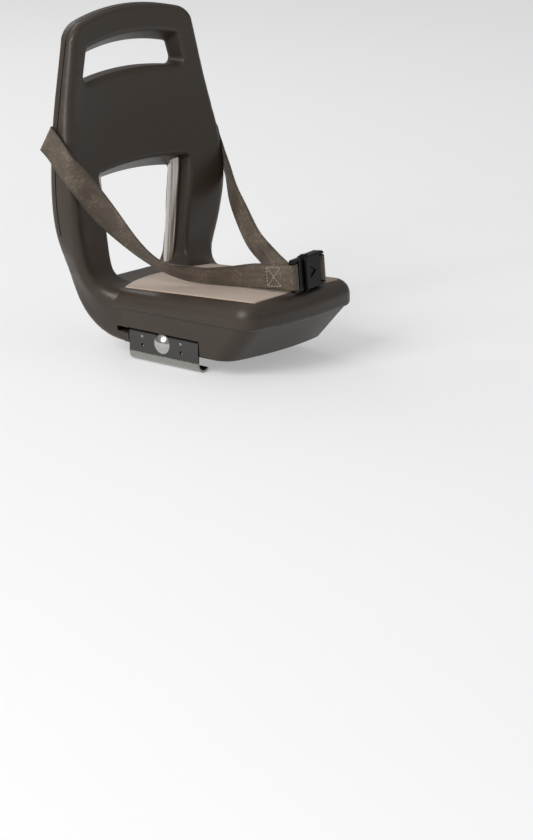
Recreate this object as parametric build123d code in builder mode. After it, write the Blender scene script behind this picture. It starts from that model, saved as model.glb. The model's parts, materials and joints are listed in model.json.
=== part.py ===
from build123d import *
from math import cos, radians, sin, sqrt, tan
import os

os.makedirs("parts", exist_ok=True)

# Millimetres. The underside of the base is z = 0, the clamp bolts lie on y = 0, the sitter looks along -Y.

# Seat base
seat_half_width = 82.0
seat_front = 124.0
front_bow = 9.0
seat_corner = 21.0
seam_height = 35.0
seam_tilt = 0.6
seam_step = 2.6
seam_round = 4.0
seat_height = 55.7
seat_tilt = 3.4
shoulder_radius = 15.0
foot_half_width = 75.5
foot_front = 89.0
foot_round = 4.0

# Heel, where the base turns up into the backrest
heel_radius = 53.0
heel_rear = 110.0
turn_y = 45.0
turn_z = 75.0
jamb_front = 79.0
jamb_blend = 20.0
low_half_width = 77.5
low_inset = 5.5

# Backrest rows: height, half width, front edge y, rear edge y, hollow of the front, belly of the rear,
# then the radii of the front and rear edges
backrest_rows = [
    (75.0, 101.0, 79.0, 110.0, 7.0, 3.0, 10.5, 8.0),
    (105.0, 110.0, 78.5, 110.0, 9.0, 4.0, 9.5, 7.5),
    (145.0, 115.5, 79.5, 110.5, 9.0, 5.0, 9.0, 7.0),
    (200.0, 110.0, 88.5, 114.0, 9.0, 5.0, 9.0, 7.0),
    (250.0, 99.0, 95.5, 117.0, 8.0, 5.0, 8.0, 6.0),
    (292.0, 89.3, 99.4, 119.2, 6.0, 4.0, 7.0, 6.0),
    (335.0, 79.4, 103.0, 121.0, 5.0, 3.0, 6.0, 5.0),
]
crown_height = 318.6
crown_corner_height = 305.5
crown_corner = 27.0
crown_round = 5.0

# Hand hole and lower window: each as its shape on the front face and on the rear face
# Shape: half width and height of the lower corners, height of the lower middle, then the same for the top
hand_front_y, hand_rear_y = 101.0, 121.0
hand_front = (77.0, 249.5, 255.5, 67.0, 286.0, 296.0)
hand_rear = (71.5, 249.5, 256.0, 63.0, 271.5, 280.7)
hand_corner = 6.0
hand_front_round = 6.0
window_front_y, window_rear_y = 91.0, 115.0
window_front_half = (51.0, 67.0)
window_rear_half = (48.5, 60.5)
window_front_top = (160.0, 167.0)
window_rear_top = (146.0, 151.5)
window_low_corner = 18.0
window_top_corner = 5.0
opening_front_round = 5.0
opening_rear_round = 2.5

# Rear cover
cover_thickness = 9.0
cover_bottom = 105.0
groove_width = 1.2
groove_depth = 1.2

# Frame tube
tube_radius = 6.0
tube_wall = 1.2
tube_fit = 0.1
tube_front = -60.0
tube_low_x = 47.0
tube_rise_y = 101.5
tube_mid = (58.5, 149.0)
tube_top = (62.0, 108.5, 212.0)
tube_bend = 30.0

# Seat pad
pad_half_width = 65.5
pad_front = -108.0
pad_rear = 57.0
pad_rear_bow = 12.0
pad_corner = 5.0
pad_recess = 3.0
pad_rise = 1.0
pad_fit = 0.2

# Rack clamps: the rack tube they hook under, and the sheet they are bent from
rack_tube_radius = 7.0
rack_half_spacing = 67.4
sheet = 2.0
clamp_front = -47.0
clamp_rear = 42.0
clamp_top = 15.5
clamp_flange_end = 58.0
hook_angle = 140.0
hook_notch_angle = 26.0
hook_notch = (-16.0, 1.0)
pip_y = 25.0
pip_z = 10.5
pip_radius = 1.9
pip_height = 0.8
peg_hole_z = 1.4
peg_hole_radius = 1.8
sheet_fit = 0.2

# Clamp bolts and nuts
bolt_radius = 4.0
bolt_z = 6.5
bolt_head_radius = 10.3
bolt_head_height = 4.8
bolt_end = 32.0
bolt_fit = 0.3
nut_across = 13.0
nut_thick = 6.5

# Cross rail in the underside
rail_half_length = 70.0
rail_half_width = 17.0
rail_leg_end = 54.0
rail_leg_bottom = 3.0
rail_tab = 46.0
rail_fit = 0.2

# Screws
rail_screw = (2.25, 4.5, 3.0, 13.0)
rail_screw_at = (22.0, 7.0)
cover_screw = (1.75, 4.0, 2.4, 12.0)
cover_screw_sink = 3.2
cover_screw_at = [(28.0, 178.0), (28.0, 232.0), (96.0, 150.0), (88.0, 120.0), (60.0, 297.0)]
anchor_screw = (2.5, 5.0, 2.8, 22.0)
washer_radius = 8.5
washer_thick = 1.2

# Belt webbing and buckle
web_width = 25.0
web_thick = 1.6
web_lift = 0.7
washer_lift = 0.3
anchor_x, anchor_z = 76.0, 200.5
anchor_tail = 12.0
buckle_at = (-4.0, -113.7)
buckle_rise = 24.5
buckle_turn = 9.0
buckle_lean = 5.0
web_drop = 0.6
buckle_half_height = 16.5
buckle_half_thick = 5.5
bar_half = (2.0, 2.5)
tongue_bar_x = -12.0
socket_bar_x = 39.0
tongue_end = 4.0
socket_start = 4.6
socket_depth = 20.0
slot_half_height = 13.6
slot_width = 6.0
arm_half_height = 13.0
arm_width = 4.5
arm_half_thick = 2.6
arm_fit = 0.4
thumb = (6.5, 15.5)
thumb_rise = 1.2
loop_radius = 3.7
sewn_length = 30.0
belt_slack = (3.0, 0.0)

# Shared positions worked out from the sizes above
clamp_inner_x = rack_half_spacing + rack_tube_radius
clamp_outer_x = clamp_inner_x + sheet
rail_top = clamp_top + rail_fit + sheet
tube_low_z = rail_top + tube_radius


def seat_z(y):
    return seat_height - y * tan(radians(seat_tilt))


def tilted(height, degrees):
    normal = (0, sin(radians(degrees)), cos(radians(degrees)))
    return Plane(origin=(0, 0, height), x_dir=(1, 0, 0), z_dir=normal)


seam_plane = tilted(seam_height, seam_tilt)
seat_plane = tilted(seat_height, seat_tilt)


# Outline of the base seen from above, bowed at the front
def base_outline(half, front, back):
    with BuildSketch() as outline:
        with BuildLine():
            Polyline((half, front_bow - front), (half, back), (-half, back), (-half, front_bow - front))
            ThreePointArc((-half, front_bow - front), (0, -front), (half, front_bow - front))
        make_face()
        fillet(outline.vertices().group_by(Axis.Y)[0], seat_corner)
    return outline.sketch


# Upper bulge of the base, from the seam line to the seating plane
bulge_back = turn_y + 17.0
with BuildPart() as bulge:
    with BuildSketch(seam_plane):
        add(base_outline(seat_half_width, seat_front, bulge_back))
    extrude(amount=seat_height)
    split(bisect_by=seat_plane, keep=Keep.BOTTOM)
    bulge_top = bulge.faces().sort_by(Axis.Z)[-1]
    fillet([e for e in bulge_top.edges() if e.center().Y < bulge_back - 1], shoulder_radius)
    bulge_low = bulge.faces().sort_by(Axis.Z)[0]
    fillet([e for e in bulge_low.edges() if e.center().Y < bulge_back - 1], seam_round)

# Lower part of the base, with its front drawn back under the bulge
foot_back = turn_y + 5.0
with BuildPart() as foot:
    with BuildSketch(seam_plane.offset(1)):
        add(base_outline(seat_half_width - seam_step, seat_front - seam_step, foot_back))
    with BuildSketch(Plane.XY):
        add(base_outline(foot_half_width, foot_front, foot_back))
    loft(ruled=True)
    foot_low = foot.faces().sort_by(Axis.Z)[0]
    fillet([e for e in foot_low.edges() if e.center().Y < foot_back - 1], foot_round)


# Closed outline of one cross section: a rounded box with a hollow front and a bellied rear
def rounded_section(plane, half_in, half_out, inner, outer, hollow, belly, r_in, r_out):
    side = []
    out_x = half_out - r_out
    in_x = half_in - r_in
    for k in (0.0, 0.25, 0.5, 0.75, 0.92):
        side.append((k * out_x, outer + belly * (1 - (k * out_x / half_out) ** 2)))
    for k in range(5):
        a = radians(90 - 22.5 * k)
        lift = belly * (1 - (out_x / half_out) ** 2) * (1 - k / 4)
        side.append((out_x + r_out * cos(a), outer - r_out + lift + r_out * sin(a)))
    for k in (0.33, 0.67):
        side.append((half_out + (half_in - half_out) * k, (outer - r_out) * (1 - k) + (inner + r_in) * k))
    for k in range(5):
        a = radians(-22.5 * k)
        lift = hollow * (1 - (in_x / half_in) ** 2) * (k / 4)
        side.append((in_x + r_in * cos(a), inner + r_in + lift + r_in * sin(a)))
    for k in (0.92, 0.75, 0.5, 0.25):
        side.append((k * in_x, inner + hollow * (1 - (k * in_x / half_in) ** 2)))
    points = side + [(0, inner + hollow)] + [(-x, y) for x, y in reversed(side[1:])]
    with BuildSketch(plane) as outline:
        with BuildLine():
            Spline(*points, periodic=True)
        make_face()
    return outline.sketch


# Plane of a section: 0 degrees stands across the base, 90 degrees lies across the backrest
def turned(angle, y, z):
    return Plane(origin=(0, y, z), x_dir=(1, 0, 0), z_dir=(0, cos(radians(angle)), sin(radians(angle))))


# Distance from the turning point to a circle, along a section's own direction
def reach(angle, centre_y, centre_z, radius):
    y, z = turn_y - centre_y, turn_z - centre_z
    along = y * sin(radians(angle)) - z * cos(radians(angle))
    return -along + sqrt(along ** 2 - y ** 2 - z ** 2 + radius ** 2)


# Sections from the base round the heel and up the backrest, drawn in by an even amount where asked
def body_sections(inset):
    heel = (heel_rear - heel_radius, heel_radius, heel_radius)
    blend = (jamb_front - jamb_blend, seat_z(jamb_front - jamb_blend) + jamb_blend, jamb_blend)
    low_out = low_half_width - low_inset
    start = turn_y - 25.0
    rows = [
        (turned(0, start, turn_z), low_half_width, low_out,
         turn_z - seat_z(start) + 2.5, turn_z - 1.2, 0.2, 0.2, 17, 6),
        (turned(0, turn_y, turn_z), low_half_width + 2, low_out + 2,
         turn_z - seat_z(turn_y) + 0.8, turn_z, 0.2, 0.2, 16, 6),
        (turned(30, turn_y, turn_z), low_half_width + 6, low_out + 5.5,
         (turn_z - seat_z(turn_y + 13)) / cos(radians(30)), reach(30, *heel), 1, 0.5, 14, 9),
        (turned(60, turn_y, turn_z), low_half_width + 14, low_out + 12,
         reach(60, *blend), reach(60, *heel), 4, 1, 12, 9),
    ]
    for z, half, front, rear, hollow, belly, r_front, r_rear in backrest_rows:
        narrow = 3.5 if z < 90 else 0.0
        depth = (front - turn_y, rear - turn_y)
        rows.append((turned(90, turn_y, z), half, half - narrow, *depth, hollow, belly, r_front, r_rear))
    sections = []
    for plane, half_in, half_out, inner, outer, hollow, belly, r_in, r_out in rows:
        box = (half_in - inset, half_out - inset, inner + inset, outer - inset)
        sections.append(rounded_section(plane, *box, hollow, belly, r_in - inset, r_out - inset))
    return sections


# Half width of the backrest's straight upper sides
def crown_side(z):
    low, high = backrest_rows[-3], backrest_rows[-1]
    return low[1] + (high[1] - low[1]) * (z - low[0]) / (high[0] - low[0]) + 0.15


# What is taken off above the arched top and its two corners
def above_crown(lowered):
    edge = crown_corner_height - lowered
    low = backrest_rows[-3][0] - 10
    room = crown_height + 40 - low - 10
    with BuildSketch(Plane.XZ.offset(-145)) as outside:
        with Locations((0, low + 10 + room / 2)):
            Rectangle(4 * seat_front, room)
        with BuildSketch(mode=Mode.PRIVATE) as kept:
            with BuildLine():
                Polyline((-crown_side(edge), edge), (-crown_side(low), low),
                         (crown_side(low), low), (crown_side(edge), edge))
                ThreePointArc((crown_side(edge), edge), (0, crown_height - lowered), (-crown_side(edge), edge))
            make_face()
            fillet(kept.vertices().group_by(Axis.Y)[-1], crown_corner)
        add(kept.sketch, mode=Mode.SUBTRACT)
    return outside.sketch


# Outline of an opening on an upright plane, with arched lower and upper edges
def opening_outline(y, low_half, low_z, low_mid, top_half, top_z, top_mid, low_round, top_round):
    with BuildSketch(Plane.XZ.offset(-y)) as outline:
        with BuildLine():
            if low_mid == low_z:
                Line((-low_half, low_z), (low_half, low_z))
            else:
                ThreePointArc((-low_half, low_z), (0, low_mid), (low_half, low_z))
            Line((low_half, low_z), (top_half, top_z))
            ThreePointArc((top_half, top_z), (0, top_mid), (-top_half, top_z))
            Line((-top_half, top_z), (-low_half, low_z))
        make_face()
        fillet(outline.vertices().group_by(Axis.Y)[0], low_round)
        fillet(outline.vertices().group_by(Axis.Y)[-1], top_round)
    return outline.sketch


# Value of a straight flare, carried past both faces
def flared(front, rear, front_y, rear_y, y):
    return [a + (b - a) * (y - front_y) / (rear_y - front_y) for a, b in zip(front, rear)]


with BuildPart() as hand_hole:
    hand_ends = []
    for y in (hand_front_y - 13, hand_rear_y + 6):
        shape = flared(hand_front, hand_rear, hand_front_y, hand_rear_y, y)
        hand_ends.append(opening_outline(y, *shape, hand_corner, hand_corner))
    loft(sections=hand_ends, ruled=True)

with BuildPart() as window:
    window_ends = []
    front_shape = (window_front_half[0], seat_z(window_front_y), window_front_half[1], *window_front_top)
    rear_shape = (window_rear_half[0], seat_z(window_rear_y), window_rear_half[1], *window_rear_top)
    for y in (window_front_y - 33, window_rear_y + 15):
        shape = flared(front_shape, rear_shape, window_front_y, window_rear_y, y)
        low_half, low_z, top_half, top_z, top_mid = shape
        window_ends.append(opening_outline(y, low_half, low_z, low_z, top_half, top_z, top_mid,
                                           window_low_corner, window_top_corner))
    loft(sections=window_ends, ruled=True)

# Heel and backrest in one sweep of sections, then the arched top, the hand hole and the window
with BuildPart() as back:
    loft(sections=body_sections(0))
    extrude(above_crown(0), amount=90, mode=Mode.SUBTRACT)
    fillet(back.edges(Select.NEW), crown_round)
    add(hand_hole.part, mode=Mode.SUBTRACT)
    hand_edges = back.edges(Select.NEW)
    hand_middle = (hand_front_y + hand_rear_y) / 2
    fillet([e for e in hand_edges if e.center().Y < hand_middle], hand_front_round)
    hand_rear_edges = [e for e in hand_edges if e.center().Y > hand_middle]
    fillet([e for e in back.edges() if any((e.center() - h.center()).length < 0.01 for h in hand_rear_edges)],
           opening_rear_round)
    add(window.part, mode=Mode.SUBTRACT)
    window_edges = back.edges(Select.NEW)
    window_middle = (window_front_y + window_rear_y) / 2
    sill = seat_z(window_front_y) + 2.5
    fillet([e for e in window_edges if e.center().Y < window_middle and e.center().Z > sill], opening_front_round)
    window_rear_edges = [e for e in window_edges if e.center().Y > window_middle]
    fillet([e for e in back.edges() if any((e.center() - w.center()).length < 0.01 for w in window_rear_edges)],
           opening_rear_round)

# Parting of the backrest: the rear cover lies behind this curved sheet
parting = [(row[3] - cover_thickness, row[0]) for row in backrest_rows if row[0] >= cover_bottom]
with BuildPart() as cover_space:
    with BuildSketch(Plane.YZ) as cover_side:
        with BuildLine():
            Spline(*parting)
            Polyline(parting[-1], (160, parting[-1][1]), (160, parting[0][1]), parting[0])
        make_face()
    extrude(amount=150, both=True)

# Groove round the outer edge, in front of the cover
with BuildPart() as body_core:
    loft(sections=body_sections(groove_depth))
    extrude(above_crown(groove_depth), amount=90, mode=Mode.SUBTRACT)

with BuildPart() as groove:
    with BuildSketch(Plane.YZ) as groove_side:
        with BuildLine():
            Spline(*parting)
            Line(parting[-1], (parting[-1][0] - groove_width, parting[-1][1]))
            Spline(*[(y - groove_width, z) for y, z in reversed(parting)])
            Line((parting[0][0] - groove_width, parting[0][1]), parting[0])
        make_face()
    extrude(amount=150, both=True)
    add(body_core.part, mode=Mode.SUBTRACT)

# The whole moulding before it is parted and cut for the other pieces
with BuildPart() as moulding:
    add(back.part)
    add(groove.part, mode=Mode.SUBTRACT)
    add(bulge.part)
    add(foot.part)


# Path of straight runs joined by arcs
def bent_path(points, radii):
    with BuildLine() as path:
        start = Vector(*points[0])
        for k in range(1, len(points) - 1):
            corner = Vector(*points[k])
            back_way = (Vector(*points[k - 1]) - corner).normalized()
            on_way = (Vector(*points[k + 1]) - corner).normalized()
            half_angle = radians(back_way.get_angle(on_way)) / 2
            setback = radii[k - 1] / tan(half_angle)
            middle = (back_way + on_way).normalized() * (radii[k - 1] / sin(half_angle) - radii[k - 1])
            Line(start, corner + back_way * setback)
            ThreePointArc(corner + back_way * setback, corner + middle, corner + on_way * setback)
            start = corner + on_way * setback
        Line(start, Vector(*points[-1]))
    return path.line


# Bent steel tube: two legs in the base, up the window's sides and across inside the backrest
half_tube = [
    (tube_low_x, tube_front, tube_low_z),
    (tube_low_x, tube_rise_y, tube_low_z),
    (tube_mid[0], tube_rise_y, tube_mid[1]),
    tube_top,
]
tube_points = half_tube + [(-x, y, z) for x, y, z in reversed(half_tube)]
tube_path = bent_path(tube_points, (tube_bend, 250.0, tube_bend, tube_bend, 250.0, tube_bend))
with BuildPart() as frame_tube:
    with BuildSketch(Plane(tube_path @ 0, z_dir=tube_path % 0)):
        Circle(tube_radius)
        Circle(tube_radius - tube_wall, mode=Mode.SUBTRACT)
    sweep(path=tube_path)
frame_tube.part.label = "frame_tube"
export_step(frame_tube.part, "parts/frame_tube.step")

with BuildPart() as tube_space:
    with BuildSketch(Plane(tube_path @ 0, z_dir=tube_path % 0)):
        Circle(tube_radius + tube_fit)
    sweep(path=tube_path)


# Screw with a low round head, driven along a plane's own direction from the underside of its head
def driven_screw(plane, shank_radius, head_radius, head_height, length):
    with BuildPart() as screw:
        with BuildSketch(plane):
            Circle(shank_radius)
        extrude(amount=length)
        with BuildSketch(plane):
            Circle(head_radius)
        extrude(amount=-head_height)
        chamfer(screw.edges().sort_by(lambda e: plane.to_local_coords(e.center()).Z)[0], head_height * 0.35)
        with BuildSketch(plane.offset(-head_height)):
            RegularPolygon(head_radius * 0.5, 6)
        extrude(amount=head_height * 0.6, mode=Mode.SUBTRACT)
    return screw.part


# Bore for such a screw, with room for its head
def screw_bore(plane, shank_radius, head_room, length):
    with BuildPart() as bore:
        with BuildSketch(plane):
            Circle(shank_radius)
        extrude(amount=length)
        with BuildSketch(plane):
            Circle(head_room)
        extrude(amount=-12)
    return bore.part


# Rear edge of the backrest at a height, and the rear face inside it
def row_value(z, column):
    for low, high in zip(backrest_rows, backrest_rows[1:]):
        if low[0] <= z <= high[0]:
            return low[column] + (high[column] - low[column]) * (z - low[0]) / (high[0] - low[0])
    return backrest_rows[-1][column]


def rear_face(x, z):
    return row_value(z, 3) + row_value(z, 5) * (1 - (x / row_value(z, 1)) ** 2)


cover_screw_planes = []
for x, z in cover_screw_at:
    for side in (-1, 1):
        seat = (side * x, rear_face(x, z) - cover_screw_sink, z)
        cover_screw_planes.append(Plane(origin=seat, x_dir=(1, 0, 0), z_dir=(0, -1, 0)))


# Plane laid on the rear face where a belt end is screwed down, facing into the backrest
def anchor_plane(side, out):
    slope_x = (rear_face(anchor_x + 1, anchor_z) - rear_face(anchor_x - 1, anchor_z)) / 2
    slope_z = (rear_face(anchor_x, anchor_z + 1) - rear_face(anchor_x, anchor_z - 1)) / 2
    outward = Vector(-side * slope_x, 1, -slope_z).normalized()
    origin = Vector(side * anchor_x, rear_face(anchor_x, anchor_z), anchor_z) + outward * out
    return Plane(origin=origin, x_dir=(0, 0, 1), z_dir=outward * -1)


web_top = web_lift + web_thick + washer_lift
rail_screw_planes = []
for x in (-rail_screw_at[0], rail_screw_at[0]):
    for y in (-rail_screw_at[1], rail_screw_at[1]):
        rail_screw_planes.append(Plane(origin=(x, y, rail_top - sheet), x_dir=(1, 0, 0), z_dir=(0, 0, 1)))

with BuildPart() as cover_screws:
    for plane in cover_screw_planes:
        add(driven_screw(plane, *cover_screw))
cover_screws.part.label = "cover_screws"
export_step(cover_screws.part, "parts/cover_screws.step")

with BuildPart() as anchor_screws:
    for side in (-1, 1):
        add(driven_screw(anchor_plane(side, web_top + washer_thick), *anchor_screw))
anchor_screws.part.label = "anchor_screws"
export_step(anchor_screws.part, "parts/anchor_screws.step")

with BuildPart() as anchor_washers:
    for side in (-1, 1):
        with BuildSketch(anchor_plane(side, web_top + washer_thick)):
            Circle(washer_radius)
            Circle(anchor_screw[0], mode=Mode.SUBTRACT)
        extrude(amount=washer_thick)
anchor_washers.part.label = "anchor_washers"
export_step(anchor_washers.part, "parts/anchor_washers.step")

with BuildPart() as rail_screws:
    for plane in rail_screw_planes:
        add(driven_screw(plane, *rail_screw))
rail_screws.part.label = "rail_screws"
export_step(rail_screws.part, "parts/rail_screws.step")

# Everything bored out of both mouldings
with BuildPart() as bores:
    add(tube_space.part)
    for plane in cover_screw_planes:
        add(screw_bore(plane, cover_screw[0], cover_screw[1] + 0.5, cover_screw[3]))
    for side in (-1, 1):
        add(screw_bore(anchor_plane(side, 0), anchor_screw[0], anchor_screw[0], anchor_screw[3]))

# Rear cover
with BuildPart() as back_cover:
    add(moulding.part)
    add(cover_space.part, mode=Mode.INTERSECT)
    add(bores.part, mode=Mode.SUBTRACT)
back_cover.part.label = "back_cover"
export_step(back_cover.part, "parts/back_cover.step")


# Outline of the pad, laid on the seating plane
def pad_outline(grow):
    half, front, rear = pad_half_width + grow, pad_front - grow, pad_rear + grow
    with BuildSketch() as outline:
        with BuildLine():
            Polyline((half, rear), (half, front), (-half, front), (-half, rear))
            ThreePointArc((-half, rear), (0, rear + pad_rear_bow), (half, rear))
        make_face()
        fillet(outline.vertices(), pad_corner + grow)
    return outline.sketch


# Seat body: the front moulding with its pad recess, clamp recesses and rail pocket
with BuildPart() as seat_body:
    add(moulding.part)
    add(cover_space.part, mode=Mode.SUBTRACT)
    add(bores.part, mode=Mode.SUBTRACT)
    with BuildSketch(seat_plane.offset(-pad_recess)):
        add(pad_outline(pad_fit))
    extrude(amount=shoulder_radius, mode=Mode.SUBTRACT)
    with BuildSketch(Plane.XY):
        Rectangle(2 * (clamp_inner_x + 1), 2 * (rail_half_width + rail_fit))
    extrude(amount=rail_top, mode=Mode.SUBTRACT)
    for side in (-1, 1):
        recess_x = side * (clamp_inner_x - sheet_fit + 20)
        slot_x = side * (clamp_flange_end - 1.5 + 20)
        with BuildSketch(Plane.XY.offset(-1)):
            with Locations((recess_x, (clamp_front + clamp_rear) / 2)):
                Rectangle(40, clamp_rear - clamp_front + 3)
        extrude(amount=clamp_top + 2.2, mode=Mode.SUBTRACT)
        with BuildSketch(Plane.XY.offset(clamp_top - sheet - 3.0)):
            with BuildLine():
                Polyline((slot_x - 20, clamp_front - 1.5), (slot_x + 20, clamp_front - 1.5),
                         (slot_x + 20, clamp_rear + 22), (slot_x - 20, clamp_rear + 10), close=True)
            make_face()
        extrude(amount=sheet + 3.6, mode=Mode.SUBTRACT)
    for plane in rail_screw_planes:
        with BuildSketch(plane):
            Circle(rail_screw[0])
        extrude(amount=rail_screw[3], mode=Mode.SUBTRACT)
seat_body.part.label = "seat_body"
export_step(seat_body.part, "parts/seat_body.step")

# Seat pad, let into the seat and standing a little proud
with BuildPart() as seat_pad:
    with BuildSketch(seat_plane.offset(-pad_recess)):
        add(pad_outline(0))
    extrude(amount=pad_recess + pad_rise)
    fillet(seat_pad.faces().sort_by(Axis.Z)[-1].edges(), pad_rise * 0.9)
seat_pad.part.label = "seat_pad"
export_step(seat_pad.part, "parts/seat_pad.step")

# Cross rail: a folded channel with a tab behind each nut
with BuildPart() as cross_rail:
    with BuildSketch(Plane.XY.offset(rail_top - sheet)):
        Rectangle(2 * rail_half_length, 2 * rail_half_width)
    extrude(amount=sheet)
    with BuildSketch(Plane.XY.offset(rail_leg_bottom)):
        for side in (-1, 1):
            with Locations((0, side * (rail_half_width - sheet / 2))):
                Rectangle(2 * rail_leg_end, sheet)
    extrude(amount=rail_top - sheet - rail_leg_bottom)
    with BuildSketch(Plane.XY.offset(rail_leg_bottom - 2)):
        for side in (-1, 1):
            with Locations((side * (rail_tab + sheet / 2), 0)):
                Rectangle(sheet, 2 * (rail_half_width - sheet))
    extrude(amount=rail_top - sheet - rail_leg_bottom + 2)
    with BuildSketch(Plane.YZ):
        with Locations((0, bolt_z)):
            Circle(bolt_radius + bolt_fit)
    extrude(amount=rail_half_length, both=True, mode=Mode.SUBTRACT)
    for plane in rail_screw_planes:
        with BuildSketch(plane):
            Circle(rail_screw[0])
        extrude(amount=sheet, mode=Mode.SUBTRACT)
cross_rail.part.label = "cross_rail"
export_step(cross_rail.part, "parts/cross_rail.step")

# Nuts welded on the inner side of the rail's tabs
with BuildPart() as clamp_nuts:
    for side in (-1, 1):
        with BuildSketch(Plane.YZ.offset(side * rail_tab)):
            with Locations((0, bolt_z)):
                RegularPolygon(nut_across / 2, 6, major_radius=False, rotation=30)
                Circle(bolt_radius + bolt_fit, mode=Mode.SUBTRACT)
        extrude(amount=-side * nut_thick)
clamp_nuts.part.label = "clamp_nuts"
export_step(clamp_nuts.part, "parts/clamp_nuts.step")


# Point of the hook, at an angle round the rack tube from its outer side
def hook_point(radius, angle):
    return (rack_half_spacing + radius * cos(radians(angle)), -rack_tube_radius - radius * sin(radians(angle)))


# Clamp: one folded sheet with a flange above, a flat face and a hook under the rack tube
hook_inner = rack_tube_radius
hook_outer = rack_tube_radius + sheet
with BuildPart() as clamp_left:
    with BuildSketch(Plane.XZ.offset(-clamp_rear)) as clamp_profile:
        with BuildLine():
            Polyline((clamp_inner_x, -rack_tube_radius), (clamp_inner_x, clamp_top - sheet),
                     (clamp_flange_end, clamp_top - sheet), (clamp_flange_end, clamp_top),
                     (clamp_outer_x, clamp_top), (clamp_outer_x, -rack_tube_radius))
            ThreePointArc(hook_point(hook_outer, 0), hook_point(hook_outer, hook_angle / 2),
                          hook_point(hook_outer, hook_angle))
            Line(hook_point(hook_outer, hook_angle), hook_point(hook_inner, hook_angle))
            ThreePointArc(hook_point(hook_inner, hook_angle), hook_point(hook_inner, hook_angle / 2),
                          hook_point(hook_inner, 0))
        make_face()
    extrude(amount=clamp_rear - clamp_front)
    long_edges = clamp_left.edges().filter_by(Axis.Y)
    clamp_fold = long_edges.sort_by(lambda e: e.center().X + 2 * e.center().Z)[-1]
    fillet(clamp_fold, sheet)
    notch_angle = hook_angle - hook_notch_angle
    with BuildSketch(Plane.XZ.offset(-hook_notch[1])):
        with BuildLine():
            Polyline(hook_point(rack_tube_radius - 1, notch_angle), hook_point(hook_outer + 3, notch_angle),
                     hook_point(hook_outer + 3, hook_angle + 20),
                     hook_point(rack_tube_radius - 1, hook_angle + 20), close=True)
        make_face()
    extrude(amount=hook_notch[1] - hook_notch[0], mode=Mode.SUBTRACT)
    with BuildSketch(Plane.YZ.offset(clamp_inner_x - 1)):
        with Locations((0, bolt_z)):
            Rectangle(2 * bolt_radius, 2 * bolt_radius)
        with Locations((-pip_y, peg_hole_z), (pip_y, peg_hole_z)):
            Circle(peg_hole_radius)
    extrude(amount=sheet + 2, mode=Mode.SUBTRACT)
    with BuildSketch(Plane.YZ.offset(clamp_outer_x)):
        with Locations((-pip_y, pip_z), (pip_y, pip_z)):
            Circle(pip_radius)
    extrude(amount=pip_height, taper=35)
clamp_left.part.label = "clamp_left"
export_step(clamp_left.part, "parts/clamp_left.step")

with BuildPart() as clamp_right:
    add(mirror(clamp_left.part, about=Plane.YZ, mode=Mode.PRIVATE))
clamp_right.part.label = "clamp_right"
export_step(clamp_right.part, "parts/clamp_right.step")

# Carriage bolt: domed head, square neck held by the sheet, round shank
dome_radius = (bolt_head_radius ** 2 + bolt_head_height ** 2) / (2 * bolt_head_height)
with BuildPart() as bolt_left:
    with BuildSketch(Plane.XZ) as bolt_half:
        with BuildLine():
            Polyline((clamp_outer_x, bolt_z), (bolt_end, bolt_z), (bolt_end, bolt_z + bolt_radius - 0.8),
                     (bolt_end + 0.8, bolt_z + bolt_radius), (clamp_outer_x, bolt_z + bolt_radius),
                     (clamp_outer_x, bolt_z + bolt_head_radius))
            ThreePointArc((clamp_outer_x, bolt_z + bolt_head_radius),
                          (clamp_outer_x + bolt_head_height - dome_radius + dome_radius * cos(radians(35)),
                           bolt_z + dome_radius * sin(radians(35))),
                          (clamp_outer_x + bolt_head_height, bolt_z))
            Line((clamp_outer_x + bolt_head_height, bolt_z), (clamp_outer_x, bolt_z))
        make_face()
    revolve(axis=Axis((0, 0, bolt_z), (1, 0, 0)))
    with BuildSketch(Plane.YZ.offset(clamp_outer_x)):
        with Locations((0, bolt_z)):
            Rectangle(2 * bolt_radius, 2 * bolt_radius)
    extrude(amount=-sheet)
bolt_left.part.label = "bolt_left"
export_step(bolt_left.part, "parts/bolt_left.step")

with BuildPart() as bolt_right:
    add(mirror(bolt_left.part, about=Plane.YZ, mode=Mode.PRIVATE))
bolt_right.part.label = "bolt_right"
export_step(bolt_right.part, "parts/bolt_right.step")


# Frame of the buckle: along it, up it, and out of its front
turn, lean = radians(buckle_turn), radians(buckle_lean)
buckle_front = Vector(sin(turn) * cos(lean), -cos(turn) * cos(lean), sin(lean))
buckle_origin = (*buckle_at, seat_height + buckle_rise)
buckle_plane = Plane(origin=buckle_origin, x_dir=(cos(turn), sin(turn), 0), z_dir=buckle_front)
buckle_up = buckle_plane.y_dir


def at_buckle(along, up, behind):
    return buckle_plane.from_local_coords(Vector(along, up, -behind))


# Webbing through stations: each is a middle point and the direction of the width
def webbing(stations):
    middles = [Vector(*p) for p, w in stations]
    edges = ([], [])
    for k, (p, w) in enumerate(stations):
        way = (middles[min(k + 1, len(middles) - 1)] - middles[max(k - 1, 0)]).normalized()
        across = Vector(*w)
        across = (across - way * across.dot(way)).normalized()
        near = middles[k] - across.cross(way) * (web_thick / 2)
        edges[0].append(near + across * (web_width / 2))
        edges[1].append(near - across * (web_width / 2))
    sheet_face = Face.make_surface_from_curves(Edge.make_spline(edges[0]), Edge.make_spline(edges[1]))
    with BuildPart() as ribbon:
        thicken(sheet_face, amount=web_thick)
    return ribbon.part


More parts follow.
